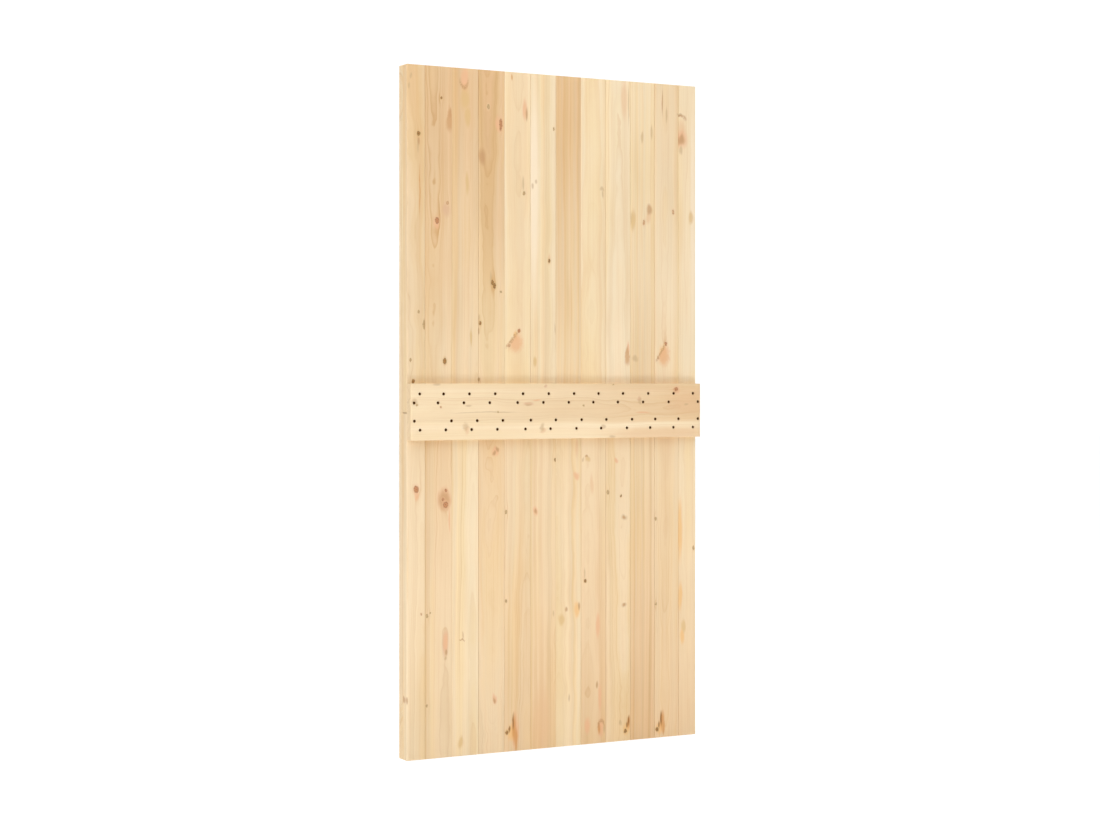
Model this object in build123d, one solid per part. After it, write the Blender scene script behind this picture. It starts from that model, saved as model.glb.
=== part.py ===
"""Hanging leaf of a sliding door, built of planed pine stock.

Two rows of upright tongue-and-groove boards butt end to end near mid height. A full-width ledge
is screwed across that joint on the face of the leaf, and a plain frame of rails and stiles backs
the boards.
Seen from the ledge side, X runs to the right, Y runs into the leaf and Z runs up. The origin is
the middle of the top edge of the frame, where the leaf hangs. All sizes are in millimetres.
"""

import os

from build123d import *

# Leaf
leaf_width = 1000.0
leaf_height = 2045.0
stock_thick = 28.0  # boards, frame and ledge are planed to one thickness

# Boards
board_count = 12
board_cover = 87.7  # width that one full board adds to the leaf
first_cover = 59.0  # the leftmost board is ripped to this, and the rightmost to what is left
open_gap = 0.8  # line between the faces of two boards
tight_gap = 0.3  # the same line where a joint is driven home
tight_joints = {"upper": (2, 4, 6, 7), "lower": (2, 4, 5, 6)}  # each by the board at its left
board_arris = 1.0  # bevel along each face corner of a board
outer_arris = 2.5  # rounding of the leaf's two upright front corners
butt_gap = 2.3  # between the upper and the lower boards
butt_drop = 2.0  # how far the middle of that gap lies under the leaf's mid height

# Tongue and groove
tongue_length = 6.0
tongue_thick = 8.0
tongue_lead = 1.0  # bevel on the tongue's tip
groove_play = 0.4  # groove's extra width and extra depth

# Frame
frame_width = 164.0  # stock width of the rails and stiles
frame_gap = 0.3  # between a rail and the stile that butts against it
frame_arris = 1.5  # bevel round the open face of each frame member

# Ledge
ledge_width = 167.0
ledge_lift = 1.0  # height of its centre line over the leaf's mid height
ledge_arris = 2.0  # rounding round the ledge's open face
hole_radius = 4.75
hole_depth = 6.0

# Screw holes of the ledge: each board has an upper and a lower pair, set at a slant
pair_lean = 18.3  # sideways step from the lower to the higher hole of a pair
pair_rise = 26.4  # upward step between them
pair_height = 39.8  # from the ledge's centre line to the middle of a pair
upper_pair_offset = -5.5  # from the board's centre line, on the full boards
lower_pair_offset = 20.0
end_pair_inset = 19.0  # from the leaf's edge, on the two edge boards
upper_pair_stray = [1, 0, -3, -5, 1, 1, 1, -1, -2, 1, 6, 1]  # each board's pair strays a little
lower_pair_stray = [2, 0, -3, -5, 2, 0, 2, 1, 5, 1, -2, 1]

# Values worked out from those above
left_edge = -leaf_width / 2
right_edge = leaf_width / 2
first_joint = left_edge + first_cover
middle_z = -leaf_height / 2
ledge_z = middle_z + ledge_lift
frame_y = 0.0
board_y = frame_y - stock_thick
ledge_y = board_y - stock_thick
butt_z = middle_z - butt_drop


def board_limits(number):
    """Left and right limits of the cover of a board, counted from 1 at the left."""
    left = left_edge if number == 1 else first_joint + (number - 2) * board_cover
    right = right_edge if number == board_count else first_joint + (number - 1) * board_cover
    return left, right


def joint_gap(row, number):
    """Open line at the joint to the right of a board, in the upper or the lower row."""
    return tight_gap if number in tight_joints[row] else open_gap


def board_section(row, number):
    """Plan of one board: square stock with a groove at its left and a tongue at its right."""
    left, right = board_limits(number)
    has_groove = number > 1
    has_tongue = number < board_count
    left += joint_gap(row, number - 1) / 2 if has_groove else 0
    right -= joint_gap(row, number) / 2 if has_tongue else 0
    section = Pos((left + right) / 2, board_y) * Rectangle(right - left, stock_thick)
    corners = section.vertices()
    front = corners.group_by(Axis.Y)[0].sort_by(Axis.X)
    outer = [front[0]] if not has_groove else [front[-1]] if not has_tongue else []
    section = chamfer([corner for corner in corners if corner not in outer], board_arris)
    for corner in outer:
        section = fillet(section.vertices().sort_by_distance(corner)[0], outer_arris)
    if has_tongue:
        tongue = Rectangle(tongue_length, tongue_thick)
        tip = tongue.vertices().group_by(Axis.X)[-1]
        section += Pos(right + tongue_length / 2, board_y) * chamfer(tip, tongue_lead)
    if has_groove:
        depth = tongue_length + groove_play
        section -= Pos(left + depth / 2, board_y) * Rectangle(depth, tongue_thick + groove_play)
    return section


def board(row, number):
    """One board, from the butt joint up to the leaf's top or down to its foot."""
    bottom_z = butt_z + butt_gap / 2 if row == "upper" else -leaf_height
    top_z = 0.0 if row == "upper" else butt_z - butt_gap / 2
    return Pos(0, 0, bottom_z) * extrude(board_section(row, number), top_z - bottom_z)


def frame_member(left, right, bottom, top):
    """A rail or stile behind the boards, with the corners of its open face eased."""
    width, height = right - left, top - bottom
    member = Pos((left + right) / 2, frame_y, (bottom + top) / 2) * Box(width, stock_thick, height)
    open_face = member.faces().sort_by(Axis.Y)[-1]
    return chamfer(open_face.edges(), frame_arris)


def frame_members():
    """Full-width top and bottom rails, the stiles between them and the middle rail between those."""
    inner_left = left_edge + frame_width
    inner_right = right_edge - frame_width
    low = -leaf_height + frame_width + frame_gap
    high = -frame_width - frame_gap
    half = frame_width / 2
    return {
        "frame_top_rail": frame_member(left_edge, right_edge, -frame_width, 0),
        "frame_bottom_rail": frame_member(left_edge, right_edge, -leaf_height, -leaf_height + frame_width),
        "frame_left_stile": frame_member(left_edge, inner_left, low, high),
        "frame_right_stile": frame_member(inner_right, right_edge, low, high),
        "frame_middle_rail": frame_member(
            inner_left + frame_gap, inner_right - frame_gap, middle_z - half, middle_z + half
        ),
    }


def pair_centres(number):
    """Middle of a board's upper and lower pair of holes, and which way each pair leans."""
    upper_stray, lower_stray = upper_pair_stray[number - 1], lower_pair_stray[number - 1]
    if number == 1:
        inset = left_edge + end_pair_inset
        return [(inset + upper_stray, 1), (inset + lower_stray, -1)]
    if number == board_count:
        inset = right_edge - end_pair_inset
        return [(inset + upper_stray, -1), (inset + lower_stray, 1)]
    centre = sum(board_limits(number)) / 2
    return [(centre + upper_pair_offset + upper_stray, 1), (centre + lower_pair_offset + lower_stray, 1)]


def hole_places():
    """Centres of all the ledge's screw holes, as X and Z."""
    places = []
    for number in range(1, board_count + 1):
        for (x, lean), side in zip(pair_centres(number), (1, -1)):
            z = ledge_z + side * pair_height
            for end in (1, -1):
                places.append((x + end * lean * pair_lean / 2, z + end * pair_rise / 2))
    return places


def middle_ledge():
    """The ledge over the butt joint, with a counterbore for each of its screws."""
    ledge = Pos(0, ledge_y, ledge_z) * Box(leaf_width, stock_thick, ledge_width)
    open_face = ledge.faces().sort_by(Axis.Y)[0]
    ledge = fillet(open_face.edges(), ledge_arris)
    front_y = ledge_y - stock_thick / 2
    mouth = Location((0, front_y + hole_depth / 2, 0), (90, 0, 0))
    drills = [Pos(x, 0, z) * mouth * Cylinder(hole_radius, hole_depth) for x, z in hole_places()]
    return ledge - drills


pieces = frame_members()
for number in range(1, board_count + 1):
    for row in ("upper", "lower"):
        pieces[f"{row}_board_{number:02d}"] = board(row, number)
pieces["middle_ledge"] = middle_ledge()

os.makedirs("parts", exist_ok=True)
for name, piece in pieces.items():
    export_step(piece, f"parts/{name}.step")
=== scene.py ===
import math
import random

import bpy
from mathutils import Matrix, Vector


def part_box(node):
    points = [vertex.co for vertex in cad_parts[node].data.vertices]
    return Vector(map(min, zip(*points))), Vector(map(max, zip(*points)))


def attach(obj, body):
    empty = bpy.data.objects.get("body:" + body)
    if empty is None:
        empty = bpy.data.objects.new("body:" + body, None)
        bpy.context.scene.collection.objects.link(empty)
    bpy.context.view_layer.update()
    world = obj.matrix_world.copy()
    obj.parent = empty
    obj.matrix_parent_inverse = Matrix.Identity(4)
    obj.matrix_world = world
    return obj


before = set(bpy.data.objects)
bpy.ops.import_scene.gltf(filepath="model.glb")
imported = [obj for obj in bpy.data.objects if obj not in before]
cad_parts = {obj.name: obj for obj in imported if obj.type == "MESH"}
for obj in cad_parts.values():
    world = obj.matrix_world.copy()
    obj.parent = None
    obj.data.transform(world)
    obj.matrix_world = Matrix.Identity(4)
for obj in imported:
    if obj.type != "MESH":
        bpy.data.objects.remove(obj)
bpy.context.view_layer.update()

# Upper boards. Twelve upright boards of planed, unfinished pine, each with its tongue in the next
# one's groove. They come from different logs, so tone, rings and knots change from board to board,
# and the wood is one solid pattern that runs on from the faces to the sawn ends.


class Wire:
    """One output in a node tree. Operators on it add Math nodes, and node() adds any other kind."""

    def __init__(self, tree, end=None):
        self.tree = tree
        self.end = end

    def node(self, kind, inputs=None, output=0, **settings):
        """Adds a node: its settings, then its sockets' values or links, where a list is several links."""
        made = self.tree.nodes.new(kind)
        for name, value in settings.items():
            setattr(made, name, value)
        for socket, value in (inputs or {}).items():
            for one in value if isinstance(value, list) else [value]:
                if isinstance(one, Wire):
                    self.tree.links.new(one.end, made.inputs[socket])
                else:
                    made.inputs[socket].default_value = one
        return Wire(self.tree, made.outputs[output] if made.outputs else None)

    def maths(self, operation, *others):
        return self.node("ShaderNodeMath", dict(enumerate((self, *others))), operation=operation)

    def vector(self, operation, *others, output="Vector"):
        inputs = dict(enumerate((self, *others)))
        return self.node("ShaderNodeVectorMath", inputs, output, operation=operation)

    def length(self):
        return self.vector("LENGTH", output="Value")

    def dot(self, other):
        return self.vector("DOT_PRODUCT", other, output="Value")

    def parts(self):
        return [self.node("ShaderNodeSeparateXYZ", {0: self}, output=axis) for axis in range(3)]

    def __add__(self, other):
        return self.maths("ADD", other)

    __radd__ = __add__

    def __mul__(self, other):
        return self.maths("MULTIPLY", other)

    __rmul__ = __mul__

    def __sub__(self, other):
        return self.maths("SUBTRACT", other)

    def __rsub__(self, other):
        return self.node("ShaderNodeMath", {0: other, 1: self}, operation="SUBTRACT")

    def __truediv__(self, other):
        return self.maths("DIVIDE", other)

    def __pow__(self, other):
        return self.maths("POWER", other)


def shader(owner):
    """Clears the node tree of a material or a world, and returns a wire to start it with."""
    owner.use_nodes = True
    owner.node_tree.nodes.clear()
    return Wire(owner.node_tree)


def seen(red, green, blue, display_power=2.2):
    """A colour as it is seen on a screen, each part from 0 to 255, made linear for a shader."""
    return tuple((part / 255) ** display_power for part in (red, green, blue)) + (1,)


def rise(value, low, high):
    """0 below low and 1 above high, with a smooth step between them."""
    return value.node("ShaderNodeMapRange", {0: value, 1: low, 2: high}, interpolation_type="SMOOTHSTEP")


def fall(value, near, far):
    """1 below near and 0 above far, with a smooth step between them."""
    return 1 - rise(value, near, far)


def tint(base, share, colour, blend="MIX"):
    """Lays that share of a colour over a base colour. A Mix node's two colours are sockets 6 and 7."""
    inputs = {0: share, 6: base, 7: colour}
    return share.node("ShaderNodeMix", inputs, output=2, data_type="RGBA", blend_type=blend)


def noise(where, waves, detail=2.0, output=0):
    """Noise with about that many waves a metre on each axis. Output 1 is three noises, as a colour."""
    inputs = {"Vector": where.vector("MULTIPLY", waves), "Scale": 1.0, "Detail": detail}
    return where.node("ShaderNodeTexNoise", inputs, output)


# Wood tones, from the sapwood's to the heartwood's
PINE = {
    "pale": seen(253, 231, 196),
    "cream": seen(249, 226, 189),
    "honey": seen(244, 218, 180),
    "amber": seen(239, 208, 167),
    "tan": seen(232, 197, 154),
}

# What the wood's tone is multiplied by in its yellower, greyer and darker bands and in its rings
YELLOWED = seen(254, 251, 240)
GREYED = seen(249, 250, 250)
SHADED = seen(248, 241, 232)
LATEWOOD = seen(228, 202, 168)

# Stains with soft edges: colour and strength
STAINS = {
    "cream": (seen(253, 233, 204), 0.8),
    "mauve": (seen(222, 180, 144), 0.8),
    "blush": (seen(232, 190, 146), 0.6),
    "peach": (seen(234, 182, 140), 0.8),
    "glow": (seen(240, 190, 124), 0.75),
    "straw": (seen(222, 184, 126), 0.7),
    "ash": (seen(202, 168, 126), 0.55),
    "brown": (seen(198, 150, 106), 0.75),
    "resin": (seen(212, 148, 84), 0.8),
    "pitch": (seen(148, 96, 42), 0.85),
}

# Branches cut along their length, and the dark arcs where the grain closes over or under a knot
SPIKE = seen(208, 158, 110)
FAN = seen(235, 184, 138)
ARC = seen(192, 140, 94)
ARCS = {"brow": (0, 0, 1), "cup": (0, 0, -1)}  # the way that each bulges

# Knots, from the small dead ones to the large sound ones: core, rim and halo
KNOTS = {
    "black": (seen(170, 126, 74), seen(94, 58, 18), seen(222, 180, 124)),
    "pin": (seen(204, 170, 124), seen(160, 122, 78), seen(230, 198, 154)),
    "red": (seen(200, 142, 100), seen(150, 90, 54), seen(232, 186, 144)),
    "sound": (seen(218, 172, 130), seen(180, 130, 88), seen(234, 198, 156)),
}

ENDLESS = 1e6  # half depth of a mark, so that it runs right through its piece


def measured_from(place, mark):
    """Offset from a mark's middle, where a length of 1 is the mark's own outline."""
    across, along, half_across, half_along = mark
    inputs = {"Vector": place, "Location": (across, 0, along), "Scale": (half_across, ENDLESS, half_along)}
    return place.node("ShaderNodeMapping", inputs, vector_type="TEXTURE")


def nearest(place, marks):
    """Distance to the nearest mark, where 1 is the mark's own outline."""
    least = None
    for mark in marks:
        away = measured_from(place, mark).length()
        least = away if least is None else least.maths("MINIMUM", away)
    return least


def stray(place, own, waves, reach):
    """The place moved about by up to half that reach, so that what lies there has an uneven outline."""
    offset = noise(own, waves, 3.0, output=1).vector("SUBTRACT", (0.5, 0.5, 0.5))
    return place.vector("ADD", offset.vector("MULTIPLY", reach))


def part_grain(place, across, knots):
    """Lets the grain run round each knot. Returns the parted grain and how close a knot is."""
    strength, least_half = 0.9, 0.004
    tight_across, tight_along = 0.6, 0.3  # a knot's half sizes over the swerve's
    parted, close = across, 0
    for middle, along, half_across, half_along in knots:
        offset = place.vector("SUBTRACT", (middle, 0, along))
        tightness = (tight_across / max(half_across, least_half), 0, tight_along / half_along)
        ratio = offset.vector("MULTIPLY", tightness)
        pull = (ratio.dot(ratio) * -0.5).maths("EXPONENT")
        parted = parted - (across - middle) * pull * strength
        close = pull + close
    return parted, close


# How a board lay in its log, in metres. The pith is beside a rift-sawn board, and behind or before
# a flat-sawn one. An arched board is a flat-sawn one that was cut more askew.
RING_WIDTH = (0.0022, 0.003)
RIFT_PITH = (0.11, 0.16)
RIFT_OFF_CENTRE = 0.02
RIFT_SKEW = (0.001, 0.004)  # how far the pith moves for each metre of board
FLAT_PITH = (0.045, 0.08)
FLAT_OFF_CENTRE = 0.045
FLAT_SKEW = (0.004, 0.010)
ARCHED_SKEW = 2  # times a flat-sawn board's
RING_SWAY = {"rift": 0.006, "flat": 0.010, "arched": 0.022}
SWAY_WAVES = (11, 11, 6)


def rings(across, depth, along, own, draw, cut):
    """Count of growth rings, round a pith that moves along the piece behind or beside it."""
    side, back = draw.choice((-1, 1)), draw.choice((-1, 1))
    if cut == "rift":
        pith_across = side * draw.uniform(*RIFT_PITH)
        pith_depth = draw.uniform(-RIFT_OFF_CENTRE, RIFT_OFF_CENTRE)
        skew = side * draw.uniform(*RIFT_SKEW)
    else:
        pith_across = draw.uniform(-FLAT_OFF_CENTRE, FLAT_OFF_CENTRE)
        pith_depth = back * draw.uniform(*FLAT_PITH)
        skew = side * draw.uniform(*FLAT_SKEW)
    if cut == "arched":
        skew *= ARCHED_SKEW
    off_across = across - pith_across
    off_depth = depth - along * skew - pith_depth
    radius = (off_across * off_across + off_depth * off_depth).maths("SQRT")
    sway = (noise(own, SWAY_WAVES, 3.0) - 0.5) * RING_SWAY[cut]
    return (radius + sway) / draw.uniform(*RING_WIDTH)


def latewood(count, own, close, draw):
    """The dark line that ends each ring: strong in some years, faint in others, dark by a knot."""
    faintest_stretch, faintest_year, knot_boost = 0.2, 0.15, 1.5
    fade_waves = (9, 9, 1.1)
    year = count.maths("FLOOR")
    season = count - year
    vigour = year.node("ShaderNodeTexWhiteNoise", {"W": year + draw.random()}, noise_dimensions="1D")
    fade = rise(noise(own, fade_waves), 0.3, 0.7) * (1 - faintest_stretch) + faintest_stretch
    line = season ** 3 * fall(season, 0.9, 1.0)
    line = line * (vigour ** 3 * (1 - faintest_year) + faintest_year) * fade
    return line * (close * knot_boost + 1)


def lay_stains(colour, place, found):
    """Lays soft-edged stains."""
    edge = (0.35, 1.2)
    for kind, (stain, strength) in STAINS.items():
        if found[kind]:
            away = nearest(place, found[kind])
            colour = tint(colour, fall(away, *edge) * strength, stain)
    return colour


def lay_spikes(colour, place, marks):
    """Lays branches that were cut nearly along their length and narrow upwards."""
    edge, strength = (0.5, 1.2), 0.8
    middle_width, taper, least_width = 0.62, 0.38, 0.1
    for mark in marks:
        ratio = measured_from(place, mark)
        upward = ratio.dot((0, 0, 1))
        width = (middle_width - upward * taper).maths("MAXIMUM", least_width)
        sideways = ratio.dot((1, 0, 0)) / width
        away = (sideways * sideways + upward * upward).maths("SQRT")
        colour = tint(colour, fall(away, *edge) * strength, SPIKE)
    return colour


BROKEN_UP = (0.3, 0.6)  # where a mark's dark lines start to show in a fine noise, and are in full


def lay_fans(colour, place, mottle, marks):
    """Lays branches that show their heart: a dark slanting edge, with peach wood right of it and below."""
    body_middle, body_edge, body_strength = (0.4, 0, -0.35), (0.4, 1.3), 0.9
    heart_width, heart_end, heart_strength = 0.35, (0.8, 1.5), 0.8
    for mark in marks:
        ratio = measured_from(place, mark)
        below = ratio.dot((1, 0, -1))
        body = fall(ratio.vector("SUBTRACT", body_middle).length(), *body_edge)
        colour = tint(colour, body * rise(below, -0.2, 0.2) * body_strength, FAN)
        heart = fall(below.maths("ABSOLUTE"), 0.0, heart_width) * fall(ratio.length(), *heart_end)
        colour = tint(colour, heart * rise(mottle, *BROKEN_UP) * heart_strength, ARC)
    return colour


def lay_arcs(colour, place, mottle, found):
    """Lays dark arcs: the rim of an oval, on the side to which the arc bulges."""
    inner_edge, outer_edge, strength = (0.5, 0.9), (0.95, 1.35), 0.75
    ends, broken_up = (-0.4, 0.7), (0.2, 0.6)
    for kind, bulge in ARCS.items():
        for mark in found[kind]:
            ratio = measured_from(place, mark)
            away = ratio.length()
            rim = rise(away, *inner_edge) * fall(away, *outer_edge) * strength
            rim = rim * rise(ratio.dot(bulge), *ends)
            colour = tint(colour, rim * rise(mottle, *broken_up), ARC)
    return colour


def lay_knots(colour, place, mottle, found):
    """Lays knots: a halo, a core, and a dark heart, rings and rim. Returns how much is knot too."""
    halo_edge, core_edge, heart_edge = (0.8, 2.2), (0.6, 1.25), (0.05, 0.4)
    rim_inner_edge, rim_outer_edge = (0.5, 0.85), (0.9, 1.25)
    halo_strength, heart_strength, turn_strength, rim_strength = 0.6, 0.5, 0.3, 0.6
    turn_rate = 16
    hard = 0
    for kind, (core, rim_colour, halo) in KNOTS.items():
        if found[kind]:
            away = nearest(place, found[kind])
            colour = tint(colour, fall(away, *halo_edge) * halo_strength, halo)
            inside = fall(away, *core_edge)
            colour = tint(colour, inside, core)
            heart = fall(away, *heart_edge) * heart_strength
            turns = ((away * turn_rate).maths("SINE") * 0.5 + 0.5) * inside * turn_strength
            rim = rise(away, *rim_inner_edge) * fall(away, *rim_outer_edge) * rim_strength
            colour = tint(colour, (heart + turns + rim) * rise(mottle, *BROKEN_UP), rim_colour)
            hard = inside + hard
    return colour, hard


def sort_marks(marks, centre, level):
    """Sorts marks by kind, each as its place across and along the piece and its half sizes."""
    found = {kind: [] for kind in (*STAINS, *ARCS, *KNOTS, "spike", "fan")}
    for kind, x, z, half_width, half_height in marks:
        if level:
            found[kind].append((centre.z - z, x - centre.x, half_height, half_width))
        else:
            found[kind].append((x - centre.x, z - centre.z, half_width, half_height))
    return found


# Waves a metre of each unevenness: across the grain, into the thickness and along the grain
BEND_WAVES = (7, 7, 1.5)
CURL_WAVES = (30, 30, 6)
TONE_WAVES = (4, 4, 1.2)
SAPWOOD_WAVES = (9, 9, 2)
PATCH_WAVES = (10, 10, 2.4)
STREAK_WAVES = (120, 120, 1.3)
FIBRE_WAVES = (1400, 1400, 26)
PORE_WAVES = (1300, 1300, 1300)
STAIN_WAVES = (60, 60, 14)
KNOT_WAVES = (140, 140, 110)
MOTTLE_WAVES = (300, 300, 300)

# How far those move the grain, the sapwood's edge and the marks' outlines, in metres
BEND = 0.016
CURL = 0.004
SAPWOOD_STRAY = 0.02
SAPWOOD_EDGE = 0.008  # half the width of its soft edge
STAIN_STRAY = (0.010, 0, 0.030)
KNOT_STRAY = (0.007, 0, 0.007)
FAN_STRAY = (0.016, 0, 0.016)

# How strong each figure is, and between which two values of its noise it comes in
BANDS_PER_RING = 0.15
PATCH_SHARE = 0.4  # of the bands, that doesn't follow the rings
BAND_RANGE = (0.42, 0.62)
SHADE_RANGE = (0.44, 0.66)
STREAK_RANGE = (0.45, 0.75)
STREAK_STRENGTH = 0.5
FIBRE_RANGE = (0.4, 0.8)
FIBRE_STRENGTH = 0.25
PORE_RANGE = (0.4, 0.7)
PORE_STRENGTH = 0.35
SAWN_STRENGTH = 0.1
TONE_STRAY = 0.5  # of the piece's length, for the change of tone along it

# Surface: planed and dry, rougher where it is sawn and smoother on a knot
RELIEF_DEPTH = 0.0003
RELIEF_STRENGTH = 0.5
RING_RELIEF = 0.6
FIBRE_RELIEF = 0.5
PORE_RELIEF = 0.8
DRY_ROUGHNESS = 0.6
FIBRE_ROUGHNESS = 0.15
SAWN_ROUGHNESS = 0.15
KNOT_SMOOTHNESS = 0.12
SPECULAR = 0.35


def pine(node, seed, tones, marks, cut="flat", figure=1.0, level=False, sapwood=None):
    """Pine for one piece. Marks are (kind, x, z, half width, half height) in the row's frame.

    Figure is how strongly the bands and rings show. A level piece has its grain along X, and its
    pale sapwood starts at the given distance below its centre line.
    """
    draw = random.Random(seed)
    material = bpy.data.materials.new(f"pine_{node}")
    start = shader(material)
    low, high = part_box(node)
    centre = (low + high) / 2
    length = (high - low).x if level else (high - low).z
    found = sort_marks(marks, centre, level)

    # Place in the piece: X across the grain, Y into the thickness and Z along the grain
    spot = start.node("ShaderNodeTexCoord", output="Object")
    turn = (0, math.pi / 2, 0) if level else (0, 0, 0)
    inputs = {"Vector": spot, "Location": centre, "Rotation": turn}
    place = spot.node("ShaderNodeMapping", inputs, vector_type="TEXTURE")
    own = place.vector("ADD", tuple(draw.uniform(-9, 9) for axis in range(3)))
    across, depth, along = place.parts()

    # Grain: parted round the knots, with waves of its own
    knots = [mark for kind in KNOTS for mark in found[kind]]
    parted, close = part_grain(place, across, knots)
    bend = (noise(own, BEND_WAVES) - 0.5) * BEND
    curl = (noise(own, CURL_WAVES) - 0.5) * CURL
    parted = parted + bend + curl
    grain = parted.node("ShaderNodeCombineXYZ", {0: parted, 1: depth, 2: along}).vector("ADD", own)
    count = rings(parted, depth, along, own, draw, cut)
    late = latewood(count, own, close, draw)

    # Tone, from the foot or left end to the other end
    share = rise(along / length + (noise(own, TONE_WAVES) - 0.5) * TONE_STRAY, -0.5, 0.5)
    colour = tint(PINE[tones[1]], share, PINE[tones[0]])
    if sapwood:
        edge = parted - sapwood + (noise(own, SAPWOOD_WAVES) - 0.5) * SAPWOOD_STRAY
        colour = tint(colour, rise(edge, -SAPWOOD_EDGE, SAPWOOD_EDGE), PINE["pale"])

    # Bands that follow the rings, mixed with patches that don't
    band_inputs = {"W": count * BANDS_PER_RING + draw.uniform(0, 99), "Scale": 1.0, "Detail": 3.0}
    bands = count.node("ShaderNodeTexNoise", band_inputs, 1, noise_dimensions="1D")
    patches = noise(own, PATCH_WAVES, output=1)
    mixed = patches.node("ShaderNodeMix", {0: PATCH_SHARE, 4: bands, 5: patches}, 1, data_type="VECTOR")
    yellow, grey, shade = mixed.parts()
    colour = tint(colour, rise(yellow, *BAND_RANGE) * figure, YELLOWED, "MULTIPLY")
    colour = tint(colour, rise(grey, *BAND_RANGE) * figure, GREYED, "MULTIPLY")
    colour = tint(colour, rise(shade, *SHADE_RANGE) * figure, SHADED, "MULTIPLY")

    # Fine streaks, the rings' latewood and the fibres
    streaks = rise(noise(grain, STREAK_WAVES, 3.0), *STREAK_RANGE)
    colour = tint(colour, streaks * STREAK_STRENGTH, SHADED, "MULTIPLY")
    colour = tint(colour, late * figure, LATEWOOD, "MULTIPLY")
    fibre = noise(grain, FIBRE_WAVES)
    colour = tint(colour, rise(fibre, *FIBRE_RANGE) * FIBRE_STRENGTH, SHADED, "MULTIPLY")

    # Marks, with knots on top
    ragged = stray(place, own, KNOT_WAVES, KNOT_STRAY)
    mottle = noise(own, MOTTLE_WAVES)
    colour = lay_stains(colour, stray(place, own, STAIN_WAVES, STAIN_STRAY), found)
    colour = lay_spikes(colour, ragged, found["spike"])
    colour = lay_fans(colour, stray(place, own, KNOT_WAVES, FAN_STRAY), mottle, found["fan"])
    colour = lay_arcs(colour, ragged, mottle, found)
    colour, hard = lay_knots(colour, ragged, mottle, found)

    # Sawn ends: open pores and a slightly darker tone
    grain_axis = (1, 0, 0) if level else (0, 0, 1)
    facing = start.node("ShaderNodeNewGeometry", output="Normal").dot(grain_axis)
    sawn = rise(facing.maths("ABSOLUTE"), 0.8, 0.95)
    pores = noise(own, PORE_WAVES, 1.0)
    darker = sawn * (rise(pores, *PORE_RANGE) * PORE_STRENGTH + SAWN_STRENGTH)
    colour = tint(colour, darker, LATEWOOD, "MULTIPLY")

    relief = late * RING_RELIEF + fibre * FIBRE_RELIEF + sawn * pores * PORE_RELIEF
    bump_inputs = {"Height": relief, "Strength": RELIEF_STRENGTH, "Distance": RELIEF_DEPTH}
    normal = relief.node("ShaderNodeBump", bump_inputs)
    rough = (fibre - 0.5) * FIBRE_ROUGHNESS + sawn * SAWN_ROUGHNESS + DRY_ROUGHNESS
    if knots:
        rough = rough - hard * KNOT_SMOOTHNESS
    inputs = {"Base Color": colour, "Roughness": rough, "Normal": normal, "Specular IOR Level": SPECULAR}
    surface = start.node("ShaderNodeBsdfPrincipled", inputs)
    start.node("ShaderNodeOutputMaterial", {0: surface})
    return material


def dress(node, material):
    """Puts a material on a carried-over piece."""
    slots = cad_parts[node].material_slots
    if not slots:
        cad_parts[node].data.materials.append(material)
    slots[0].material = material


leaf_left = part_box("upper_board_01")[0].x
leaf_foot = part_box("lower_board_01")[0].z


def on_leaf(marks):
    """Marks measured from the leaf's left edge and foot, put in the row's frame."""
    return [(kind, leaf_left + right, leaf_foot + up, *half) for kind, right, up, *half in marks]


def dress_boards(row, seed, boards, marks):
    """Gives each board its own pine: the tones at its top and foot, its cut, and the marks on it."""
    placed = on_leaf(marks)
    for number, (top, foot, cut) in enumerate(boards, 1):
        node = f"{row}_board_{number:02d}"
        low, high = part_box(node)
        on_board = [mark for mark in placed if low.x <= mark[1] <= high.x]
        dress(node, pine(node, seed + number, (top, foot), on_board, cut))


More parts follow.
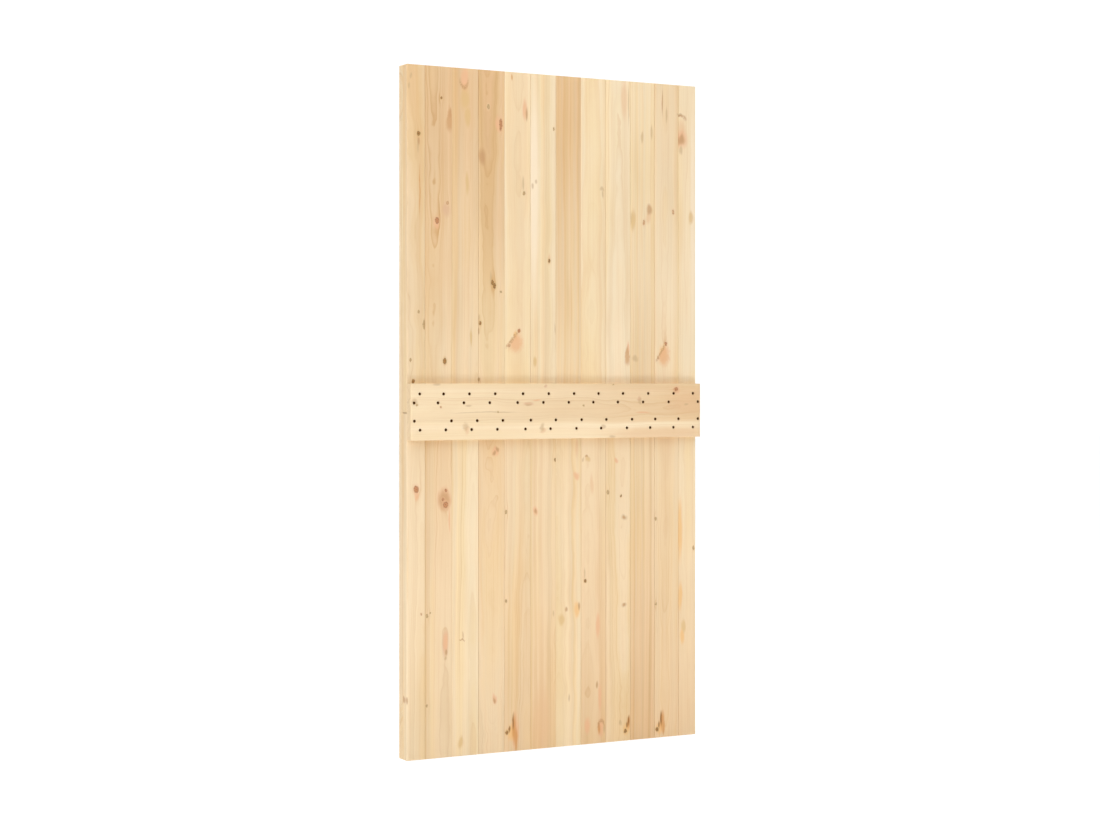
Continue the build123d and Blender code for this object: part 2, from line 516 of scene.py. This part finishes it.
dress_boards(
    "upper",
    seed=100,
    boards=[
        ("amber", "honey", "arched"), ("tan", "honey", "flat"), ("tan", "honey", "flat"),
        ("tan", "honey", "flat"), ("pale", "cream", "flat"), ("cream", "cream", "flat"),
        ("tan", "honey", "rift"), ("cream", "cream", "flat"), ("pale", "pale", "flat"),
        ("cream", "honey", "rift"), ("honey", "pale", "flat"), ("cream", "pale", "flat"),
    ],
    marks=[
        ("ash", 0.014, 2.013, 0.005, 0.010),
        ("ash", 0.008, 1.983, 0.004, 0.012),
        ("black", 0.038, 1.842, 0.005, 0.007),
        ("ash", 0.036, 1.812, 0.004, 0.028),
        ("brown", 0.039, 1.822, 0.004, 0.016),
        ("resin", 0.042, 1.675, 0.002, 0.090),
        ("pin", 0.038, 1.319, 0.003, 0.005),
        ("pin", 0.056, 1.282, 0.004, 0.014),
        ("pin", 0.012, 1.176, 0.003, 0.006),
        ("black", 0.020, 1.113, 0.004, 0.006),
        ("black", 0.112, 1.952, 0.003, 0.004),
        ("mauve", 0.128, 1.620, 0.016, 0.028),
        ("peach", 0.096, 1.582, 0.011, 0.018),
        ("red", 0.098, 1.588, 0.006, 0.010),
        ("sound", 0.132, 1.642, 0.004, 0.006),
        ("spike", 0.139, 1.892, 0.018, 0.040),
        ("brown", 0.141, 1.908, 0.004, 0.016),
        ("black", 0.123, 1.174, 0.005, 0.009),
        ("peach", 0.189, 2.012, 0.015, 0.044),
        ("cup", 0.187, 2.012, 0.014, 0.026),
        ("straw", 0.190, 1.955, 0.019, 0.044),
        ("straw", 0.198, 1.905, 0.012, 0.034),
        ("straw", 0.200, 1.890, 0.008, 0.024),
        ("straw", 0.197, 1.705, 0.007, 0.040),
        ("straw", 0.210, 1.243, 0.005, 0.030),
        ("brown", 0.247, 1.785, 0.013, 0.028),
        ("pin", 0.268, 1.935, 0.004, 0.008),
        ("peach", 0.303, 1.886, 0.013, 0.026),
        ("red", 0.309, 1.884, 0.005, 0.017),
        ("black", 0.281, 1.410, 0.004, 0.008),
        ("black", 0.287, 1.401, 0.005, 0.008),
        ("ash", 0.276, 1.422, 0.003, 0.026),
        ("pin", 0.310, 1.382, 0.003, 0.004),
        ("black", 0.240, 1.288, 0.004, 0.006),
        ("ash", 0.237, 1.303, 0.003, 0.012),
        ("brown", 0.237, 1.262, 0.003, 0.014),
        ("pin", 0.236, 1.120, 0.003, 0.005),
        ("resin", 0.347, 2.033, 0.003, 0.012),
        ("peach", 0.391, 1.935, 0.009, 0.038),
        ("brown", 0.398, 1.922, 0.005, 0.026),
        ("pin", 0.388, 1.682, 0.004, 0.006),
        ("ash", 0.386, 1.712, 0.004, 0.024),
        ("fan", 0.349, 1.241, 0.026, 0.031),
        ("glow", 0.360, 1.252, 0.008, 0.016),
        ("sound", 0.338, 1.221, 0.004, 0.005),
        ("red", 0.371, 1.266, 0.004, 0.006),
        ("ash", 0.429, 1.719, 0.005, 0.008),
        ("ash", 0.418, 1.702, 0.004, 0.012),
        ("straw", 0.426, 1.172, 0.007, 0.018),
        ("blush", 0.474, 1.482, 0.006, 0.020),
        ("black", 0.474, 1.480, 0.003, 0.006),
        ("cream", 0.423, 1.700, 0.019, 0.400),
        ("pin", 0.490, 1.882, 0.003, 0.005),
        ("ash", 0.495, 1.276, 0.002, 0.022),
        ("ash", 0.660, 1.706, 0.009, 0.008),
        ("ash", 0.662, 1.690, 0.004, 0.014),
        ("ash", 0.755, 1.965, 0.002, 0.070),
        ("blush", 0.740, 1.985, 0.013, 0.070),
        ("peach", 0.753, 1.215, 0.005, 0.022),
        ("spike", 0.750, 1.195, 0.015, 0.032),
        ("ash", 0.779, 1.186, 0.012, 0.012),
        ("straw", 0.770, 1.616, 0.011, 0.036),
        ("ash", 0.764, 1.624, 0.002, 0.022),
        ("ash", 0.803, 1.875, 0.005, 0.018),
        ("sound", 0.810, 1.608, 0.004, 0.008),
        ("blush", 0.826, 1.622, 0.012, 0.022),
        ("brown", 0.829, 1.646, 0.012, 0.020),
        ("ash", 0.838, 1.895, 0.004, 0.026),
        ("brown", 0.878, 1.990, 0.003, 0.048),
        ("ash", 0.892, 1.950, 0.004, 0.030),
        ("glow", 0.878, 1.200, 0.014, 0.034),
        ("fan", 0.874, 1.208, 0.022, 0.036),
        ("red", 0.890, 1.231, 0.004, 0.006),
        ("sound", 0.862, 1.188, 0.003, 0.006),
        ("sound", 0.917, 1.646, 0.004, 0.007),
        ("brow", 0.944, 1.935, 0.020, 0.016),
        ("ash", 0.940, 1.950, 0.010, 0.006),
        ("blush", 0.946, 1.900, 0.020, 0.040),
        ("peach", 0.946, 1.876, 0.026, 0.032),
        ("brown", 0.947, 1.873, 0.015, 0.018),
        ("ash", 0.945, 1.840, 0.008, 0.016),
        ("cream", 0.990, 1.620, 0.010, 0.420),
        ("straw", 0.983, 1.629, 0.010, 0.022),
    ],
)

# Lower boards. Twelve more of the same stock, butted end to end with the upper ones at mid height
# and made the same way. The knots near their feet are the darkest, with resin beside them.
dress_boards(
    "lower",
    seed=200,
    boards=[
        ("honey", "cream", "flat"), ("amber", "honey", "flat"), ("cream", "cream", "flat"),
        ("amber", "honey", "arched"), ("honey", "amber", "flat"), ("honey", "amber", "flat"),
        ("honey", "cream", "arched"), ("honey", "amber", "flat"), ("honey", "honey", "arched"),
        ("honey", "tan", "rift"), ("honey", "amber", "flat"), ("cream", "amber", "flat"),
    ],
    marks=[
        ("brown", 0.001, 0.176, 0.003, 0.012),
        ("peach", 0.031, 0.782, 0.010, 0.022),
        ("red", 0.030, 0.796, 0.008, 0.010),
        ("sound", 0.046, 0.428, 0.003, 0.004),
        ("pin", 0.065, 0.422, 0.004, 0.006),
        ("pin", 0.076, 0.430, 0.002, 0.003),
        ("pin", 0.065, 0.157, 0.003, 0.005),
        ("peach", 0.121, 0.764, 0.024, 0.036),
        ("brown", 0.121, 0.762, 0.022, 0.034),
        ("red", 0.126, 0.748, 0.008, 0.009),
        ("red", 0.117, 0.764, 0.004, 0.005),
        ("red", 0.127, 0.790, 0.004, 0.005),
        ("peach", 0.138, 0.705, 0.003, 0.045),
        ("mauve", 0.125, 0.338, 0.013, 0.044),
        ("peach", 0.126, 0.342, 0.010, 0.034),
        ("brown", 0.129, 0.312, 0.005, 0.011),
        ("ash", 0.127, 0.294, 0.005, 0.007),
        ("brown", 0.181, 0.343, 0.012, 0.003),
        ("brown", 0.183, 0.354, 0.002, 0.014),
        ("straw", 0.177, 0.039, 0.010, 0.020),
        ("peach", 0.291, 0.902, 0.013, 0.018),
        ("brown", 0.287, 0.897, 0.007, 0.007),
        ("brown", 0.297, 0.909, 0.006, 0.009),
        ("peach", 0.289, 0.160, 0.010, 0.020),
        ("brown", 0.288, 0.155, 0.006, 0.011),
        ("pin", 0.327, 0.721, 0.004, 0.006),
        ("pin", 0.327, 0.453, 0.004, 0.005),
        ("glow", 0.345, 0.055, 0.016, 0.028),
        ("black", 0.330, 0.058, 0.005, 0.006),
        ("pitch", 0.337, 0.066, 0.005, 0.009),
        ("pitch", 0.350, 0.090, 0.003, 0.026),
        ("resin", 0.354, 0.066, 0.009, 0.050),
        ("resin", 0.361, 0.036, 0.006, 0.046),
        ("peach", 0.358, 0.060, 0.014, 0.060),
        ("peach", 0.427, 0.720, 0.009, 0.018),
        ("brown", 0.427, 0.719, 0.005, 0.010),
        ("blush", 0.450, 0.090, 0.038, 0.120),
        ("black", 0.495, 0.874, 0.003, 0.005),
        ("ash", 0.490, 0.409, 0.004, 0.012),
        ("brown", 0.533, 0.416, 0.006, 0.009),
        ("straw", 0.516, 0.386, 0.012, 0.020),
        ("peach", 0.568, 0.826, 0.011, 0.014),
        ("blush", 0.571, 0.910, 0.008, 0.034),
        ("glow", 0.570, 0.414, 0.011, 0.032),
        ("brown", 0.577, 0.424, 0.004, 0.016),
        ("ash", 0.544, 0.146, 0.004, 0.014),
        ("straw", 0.609, 0.872, 0.013, 0.011),
        ("brown", 0.603, 0.880, 0.007, 0.005),
        ("ash", 0.591, 0.873, 0.004, 0.008),
        ("black", 0.600, 0.501, 0.004, 0.005),
        ("ash", 0.598, 0.525, 0.003, 0.020),
        ("blush", 0.624, 0.800, 0.007, 0.036),
        ("peach", 0.645, 0.364, 0.008, 0.044),
        ("brown", 0.642, 0.178, 0.005, 0.014),
        ("peach", 0.652, 0.138, 0.007, 0.050),
        ("peach", 0.608, 0.056, 0.012, 0.030),
        ("peach", 0.654, 0.044, 0.013, 0.032),
        ("resin", 0.649, 0.048, 0.006, 0.022),
        ("ash", 0.668, 0.042, 0.003, 0.014),
        ("brow", 0.656, 0.046, 0.012, 0.024),
        ("pin", 0.681, 0.772, 0.004, 0.007),
        ("peach", 0.710, 0.870, 0.008, 0.010),
        ("black", 0.727, 0.759, 0.003, 0.004),
        ("ash", 0.738, 0.690, 0.013, 0.010),
        ("brown", 0.738, 0.690, 0.006, 0.006),
        ("ash", 0.738, 0.421, 0.011, 0.009),
        ("brown", 0.738, 0.422, 0.006, 0.007),
        ("glow", 0.748, 0.034, 0.015, 0.020),
        ("black", 0.743, 0.030, 0.005, 0.006),
        ("pitch", 0.749, 0.044, 0.004, 0.012),
        ("pitch", 0.755, 0.058, 0.003, 0.018),
        ("resin", 0.755, 0.052, 0.007, 0.024),
        ("ash", 0.725, 0.052, 0.006, 0.010),
        ("pin", 0.853, 0.685, 0.003, 0.005),
        ("pin", 0.854, 0.418, 0.003, 0.005),
        ("glow", 0.868, 0.032, 0.016, 0.024),
        ("black", 0.858, 0.026, 0.005, 0.006),
        ("pitch", 0.865, 0.044, 0.004, 0.013),
        ("pitch", 0.873, 0.060, 0.004, 0.026),
        ("resin", 0.876, 0.052, 0.008, 0.034),
        ("resin", 0.882, 0.030, 0.005, 0.024),
        ("glow", 0.942, 0.650, 0.011, 0.110),
        ("glow", 0.943, 0.440, 0.010, 0.050),
        ("straw", 0.955, 0.346, 0.010, 0.024),
        ("glow", 0.950, 0.312, 0.009, 0.028),
        ("pin", 0.992, 0.588, 0.003, 0.007),
    ],
)

# Frame. Rails and stiles of wider pine, planed like the boards and fixed behind them, with the
# grain along each member. The top and bottom rails run right across, over the ends of the stiles.
KNOT_SPACING = 0.17  # length of a member for each of its chance knots
KNOT_HALF = (0.007, 0.014)  # half width, from the smallest to the largest
PIN_KNOT_HALF = (0.003, 0.005)
KNOT_STRETCH = (1.1, 1.7)  # length along the grain for each unit of width
KNOT_MARGIN = 0.02  # least distance from a knot's middle to the member's edge


def chance_knots(node, seed):
    """Knots for a frame member, as marks in the row's frame."""
    draw = random.Random(seed)
    low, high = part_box(node)
    size = high - low
    marks = []
    for turn in range(round(max(size.x, size.z) / KNOT_SPACING)):
        kind = draw.choice(("sound", "sound", "pin", "peach"))
        thin = draw.uniform(*(PIN_KNOT_HALF if kind == "pin" else KNOT_HALF))
        long = thin * draw.uniform(*KNOT_STRETCH)
        half_width, half_height = (long, thin) if size.x > size.z else (thin, long)
        x = draw.uniform(low.x + KNOT_MARGIN, high.x - KNOT_MARGIN)
        z = draw.uniform(low.z + KNOT_MARGIN, high.z - KNOT_MARGIN)
        marks.append((kind, x, z, half_width, half_height))
    return marks


rails = ("frame_top_rail", "frame_bottom_rail", "frame_middle_rail")
stiles = ("frame_left_stile", "frame_right_stile")
for seed, node in enumerate(rails + stiles, start=300):
    level = node in rails
    tones = ("honey", "cream") if level else ("pale", "honey")
    dress(node, pine(node, seed, tones, chance_knots(node, seed), level=level))

# Middle ledge. One wide pine board laid level over the butt joint on the leaf's face, counterbored
# for its screws. It has pale sapwood along its lower edge, and its heartwood reddens to the right.
SAPWOOD_LINE = 0.035  # below its centre line
ledge_marks = [
    ("peach", 0.913, 1.088, 0.016, 0.012),
    ("brown", 0.911, 1.089, 0.010, 0.008),
    ("red", 0.911, 1.090, 0.006, 0.005),
    ("ash", 0.010, 1.054, 0.010, 0.012),
    ("pin", 0.020, 1.044, 0.003, 0.003),
    ("sound", 0.097, 1.038, 0.003, 0.003),
    ("ash", 0.082, 1.104, 0.012, 0.004),
    ("ash", 0.190, 1.041, 0.014, 0.004),
    ("ash", 0.179, 0.978, 0.009, 0.016),
    ("blush", 0.184, 0.968, 0.009, 0.014),
    ("ash", 0.250, 1.021, 0.130, 0.002),
    ("pin", 0.286, 1.022, 0.003, 0.003),
    ("mauve", 0.387, 1.046, 0.017, 0.006),
    ("ash", 0.384, 1.043, 0.012, 0.003),
    ("peach", 0.412, 1.057, 0.018, 0.003),
    ("mauve", 0.447, 1.101, 0.006, 0.006),
    ("ash", 0.435, 0.976, 0.009, 0.015),
    ("blush", 0.441, 0.966, 0.009, 0.010),
    ("pin", 0.579, 1.040, 0.003, 0.003),
    ("ash", 0.650, 0.976, 0.009, 0.009),
    ("ash", 0.679, 0.943, 0.014, 0.005),
    ("pin", 0.683, 1.104, 0.003, 0.002),
    ("ash", 0.779, 1.052, 0.007, 0.010),
    ("mauve", 0.776, 1.060, 0.007, 0.010),
    ("peach", 0.790, 1.016, 0.030, 0.003),
    ("ash", 0.948, 1.042, 0.010, 0.004),
    ("blush", 0.980, 1.050, 0.120, 0.050),
    ("blush", 0.860, 0.952, 0.240, 0.022),
]
ledge_pine = pine(
    "middle_ledge",
    seed=400,
    tones=("amber", "cream"),
    marks=on_leaf(ledge_marks),
    figure=0.5,
    level=True,
    sapwood=SAPWOOD_LINE,
)
dress("middle_ledge", ledge_pine)

# Screws. Dark phosphated steel screws hold the ledge to the boards. Each has a cylinder head with a
# cross recess, seated on the bottom of its counterbore, and stopped at its own angle.
HEAD_RADIUS = 0.0045
HEAD_HEIGHT = 0.0045
HEAD_SIDES = 32
CROWN_SHARE = 0.14  # of the head's height, over which it narrows
CROWN_WIDTH = 0.87  # of the head's
RECESS_WIDTH = 0.0011
RECESS_DEPTH = 0.0022
RECESS_LENGTH = 1.15  # of each arm right across, in head radii
SPIN_SEED = 7
EDGE_CLEAR = 0.004  # keeps the ledge's rounded edges out of the search for the counterbores
BORE_REACH = 0.012  # more than a counterbore is wide, and less than the step to the next one
PHOSPHATE = (seen(66, 36, 8), seen(96, 62, 22))  # dark and light parts of the coat
PHOSPHATE_WAVES = (900, 900, 900)

ledge_low, ledge_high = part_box("middle_ledge")
bores = []
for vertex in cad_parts["middle_ledge"].data.vertices:
    if ledge_low.y + EDGE_CLEAR < vertex.co.y < ledge_high.y - EDGE_CLEAR:
        for bore in bores:
            if (bore[0] - vertex.co).length < BORE_REACH:
                bore.append(vertex.co.copy())
                break
        else:
            bores.append([vertex.co.copy()])
seats = []
for bore in bores:
    x = (min(point.x for point in bore) + max(point.x for point in bore)) / 2
    z = (min(point.z for point in bore) + max(point.z for point in bore)) / 2
    seats.append((x, bore[0].y, z))


def screw_tree():
    """A head with a cross recess on each point, lying along -Y."""
    tree = bpy.data.node_groups.new("screw heads", "GeometryNodeTree")
    tree.interface.new_socket("Seats", in_out="INPUT", socket_type="NodeSocketGeometry")
    for name in ("Head Radius", "Head Height", "Recess Width", "Recess Depth"):
        tree.interface.new_socket(name, in_out="INPUT", socket_type="NodeSocketFloat")
    tree.interface.new_socket("Material", in_out="INPUT", socket_type="NodeSocketMaterial")
    tree.interface.new_socket("Heads", in_out="OUTPUT", socket_type="NodeSocketGeometry")
    entry = tree.nodes.new("NodeGroupInput")
    seats, radius, height, width, depth, steel = [Wire(tree, entry.outputs[index]) for index in range(6)]

    # Head: a disc drawn out to a cylinder, with a narrower crown and a closed underside
    disc = seats.node("GeometryNodeMeshCircle", {"Vertices": HEAD_SIDES, "Radius": radius}, fill_type="NGON")
    body_inputs = {"Mesh": disc, "Offset Scale": height * (1 - CROWN_SHARE)}
    body = disc.node("GeometryNodeExtrudeMesh", body_inputs)
    body_top = Wire(tree, body.end.node.outputs["Top"])
    crown_inputs = {"Mesh": body, "Selection": body_top, "Offset Scale": height * CROWN_SHARE}
    crown = body.node("GeometryNodeExtrudeMesh", crown_inputs)
    crown_top = Wire(tree, crown.end.node.outputs["Top"])
    eased_inputs = {0: crown, "Selection": crown_top, "Scale": CROWN_WIDTH}
    eased = crown.node("GeometryNodeScaleElements", eased_inputs)
    under = disc.node("GeometryNodeFlipFaces", {0: disc})
    shell = eased.node("GeometryNodeJoinGeometry", {0: [eased, under]})
    shell = shell.node("GeometryNodeMergeByDistance", {0: shell})

    # Recess: two crossed blocks, each half sunk into the head's top
    reach = radius * RECESS_LENGTH
    cuts = []
    for size in ((width, reach), (reach, width)):
        block = width.node("ShaderNodeCombineXYZ", {0: size[0], 1: size[1], 2: depth * 2})
        cut = block.node("GeometryNodeMeshCube", {"Size": block})
        lift = height.node("ShaderNodeCombineXYZ", {2: height})
        cuts.append(cut.node("GeometryNodeTransform", {0: cut, "Translation": lift}))
    head = shell.node("GeometryNodeMeshBoolean", {0: shell, 1: cuts}, operation="DIFFERENCE")

    # One head on each seat, turned to the ledge's open face and spun at random
    spin = seats.node("FunctionNodeRandomValue", {"Max": math.pi / 2, "Seed": SPIN_SEED}, output=1)
    angle = spin.node("ShaderNodeCombineXYZ", {0: math.pi / 2, 1: spin})
    turn = angle.node("FunctionNodeEulerToRotation", {0: angle})
    heads = head.node("GeometryNodeInstanceOnPoints", {"Points": seats, "Instance": head, "Rotation": turn})
    solid = heads.node("GeometryNodeRealizeInstances", {0: heads})
    finished = solid.node("GeometryNodeSetMaterial", {"Geometry": solid, "Material": steel})
    finished.node("NodeGroupOutput", {0: finished})
    return tree


def phosphated_steel():
    """Dark brown phosphate on steel, matt and slightly mottled."""
    material = bpy.data.materials.new("phosphated_steel")
    start = shader(material)
    mottle = noise(start.node("ShaderNodeTexCoord", output="Object"), PHOSPHATE_WAVES, 3.0)
    colour = tint(PHOSPHATE[0], rise(mottle, 0.35, 0.7), PHOSPHATE[1])
    inputs = {"Base Color": colour, "Roughness": mottle * 0.2 + 0.42, "Specular IOR Level": 0.1}
    start.node("ShaderNodeOutputMaterial", {0: start.node("ShaderNodeBsdfPrincipled", inputs)})
    return material


seat_mesh = bpy.data.meshes.new("screw seats")
seat_mesh.from_pydata(seats, [], [])
seat_holder = bpy.data.objects.new("screw seats", seat_mesh)
bpy.context.scene.collection.objects.link(seat_holder)
modifier = seat_holder.modifiers.new("screws", "NODES")
modifier.node_group = screw_tree()
values = {
    "Head Radius": HEAD_RADIUS,
    "Head Height": HEAD_HEIGHT,
    "Recess Width": RECESS_WIDTH,
    "Recess Depth": RECESS_DEPTH,
    "Material": phosphated_steel(),
}
for socket in modifier.node_group.interface.items_tree:
    if socket.name in values and socket.in_out == "INPUT":
        modifier[socket.identifier] = values[socket.name]
bpy.context.view_layer.update()
evaluated = seat_holder.evaluated_get(bpy.context.evaluated_depsgraph_get())
screw_mesh = bpy.data.meshes.new_from_object(evaluated)
bpy.data.objects.remove(seat_holder)
screws = bpy.data.objects.new("ledge_screws", screw_mesh)
bpy.context.scene.collection.objects.link(screws)
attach(screws, "root")

# Studio. A white floor just under the hanging leaf and soft light from all round. The lamps stand in
# pairs, one for the ledge side and its twin turned half round for the back. The camera stands where
# the photo was taken from, worked out from the leaf's edges and its real size.
FLOOR_DROP = 0.012
FLOOR_SIZE = 60
FLOOR_WHITE = (0.9, 0.9, 0.9, 1)
FLOOR_GLOW = 1.27
GLOW_SHARE = 0.75  # the rest of the floor takes light, and so the leaf's shadow
AMBIENT = 0.085
AMBIENT_STEEP = 0.29  # what is added straight above and below
SKY_MARGIN = 0.1  # how far over white the camera alone sees the sky, so that no grey edge shows
WHITE = (1, 1, 1, 1)

bpy.ops.mesh.primitive_plane_add(size=FLOOR_SIZE, location=(0, 0, leaf_foot - FLOOR_DROP))
floor = bpy.context.object
floor.name = "floor"
studio_floor = bpy.data.materials.new("studio_floor")
start = shader(studio_floor)
straight = start.node("ShaderNodeLightPath", output="Is Camera Ray")
mirrored = start.node("ShaderNodeLightPath", output="Is Glossy Ray")
matt = start.node("ShaderNodeBsdfDiffuse", {0: FLOOR_WHITE})
glow = start.node("ShaderNodeEmission", {0: WHITE, 1: FLOOR_GLOW})
share = straight.maths("MAXIMUM", mirrored) * GLOW_SHARE
both = start.node("ShaderNodeMixShader", {0: share, 1: matt, 2: glow})
start.node("ShaderNodeOutputMaterial", {0: both})
floor.data.materials.append(studio_floor)

world = bpy.data.worlds.new("studio")
bpy.context.scene.world = world
start = shader(world)
straight = start.node("ShaderNodeLightPath", output="Is Camera Ray")
mirrored = start.node("ShaderNodeLightPath", output="Is Glossy Ray")
through = start.node("ShaderNodeLightPath", output="Is Transmission Ray")
shown = straight.maths("MAXIMUM", mirrored).maths("MAXIMUM", through)
steep = start.node("ShaderNodeTexCoord", output="Object").parts()[2].maths("ABSOLUTE")
ambient = steep * AMBIENT_STEEP + AMBIENT
glare = shown * (1 - ambient) + ambient + straight * SKY_MARGIN
sky = start.node("ShaderNodeBackground", {0: WHITE, 1: glare})
start.node("ShaderNodeOutputWorld", {0: sky})


def lamp_pair(name, place, size, power, aim):
    """A rectangular lamp for the ledge side, and its twin for the back."""
    for label, turn in (("front", 1), ("rear", -1)):
        lamp = bpy.data.lights.new(f"{label}_{name}", "AREA")
        lamp.shape = "RECTANGLE"
        lamp.size, lamp.size_y = size
        lamp.energy = power
        holder = bpy.data.objects.new(lamp.name, lamp)
        bpy.context.scene.collection.objects.link(holder)
        holder.visible_camera = False
        holder.location = (place[0] * turn, place[1] * turn, place[2])
        ray = Vector((aim[0] * turn, aim[1] * turn, aim[2])) - holder.location
        holder.rotation_euler = ray.to_track_quat("-Z", "Y").to_euler()


leaf_middle = (0, 0, -1.0)
lamp_pair("key", place=(-4.6, -5.0, 2.2), size=(4.0, 4.0), power=232, aim=leaf_middle)
lamp_pair("side", place=(-5.5, -0.8, -0.8), size=(2.5, 2.5), power=50, aim=leaf_middle)
lamp_pair("top_panel", place=(0.2, -1.3, 1.05), size=(3.0, 1.4), power=19, aim=(0.2, -1.3, -9))
lamp_pair("floor_panel", place=(0.2, -1.8, -2.05), size=(3.0, 1.6), power=9.5, aim=(0.2, -1.8, 9))
lamp_pair("floor_strip", place=(0.2, -1.2, -1.9), size=(3.0, 0.25), power=3.8, aim=(0.2, 0, -1.8))

FROM_LEFT_EDGE = 2.559  # metres to the left of the leaf
FROM_FACE = 5.613  # metres before the boards' face
ABOVE_FOOT = 1.106
LOOKING = (0.4758, 0.8796, 0)  # level, and to the right
PHOTO_WIDTH = 1100
FOCAL_PIXELS = 2099  # focal length in the photo's pixels
HORIZON_RISE = 28.1  # pixels from the photo's centre up to the horizon line
SENSOR_WIDTH = 36  # millimetres
face_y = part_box("upper_board_01")[0].y
camera = bpy.data.cameras.new("camera")
camera.sensor_width = SENSOR_WIDTH
camera.lens = SENSOR_WIDTH * FOCAL_PIXELS / PHOTO_WIDTH
camera.shift_y = -HORIZON_RISE / PHOTO_WIDTH
stand = bpy.data.objects.new("camera", camera)
bpy.context.scene.collection.objects.link(stand)
stand.location = (leaf_left - FROM_LEFT_EDGE, face_y - FROM_FACE, leaf_foot + ABOVE_FOOT)
stand.rotation_euler = Vector(LOOKING).to_track_quat("-Z", "Y").to_euler()
bpy.context.scene.camera = stand
bpy.context.scene.view_settings.view_transform = "Standard"
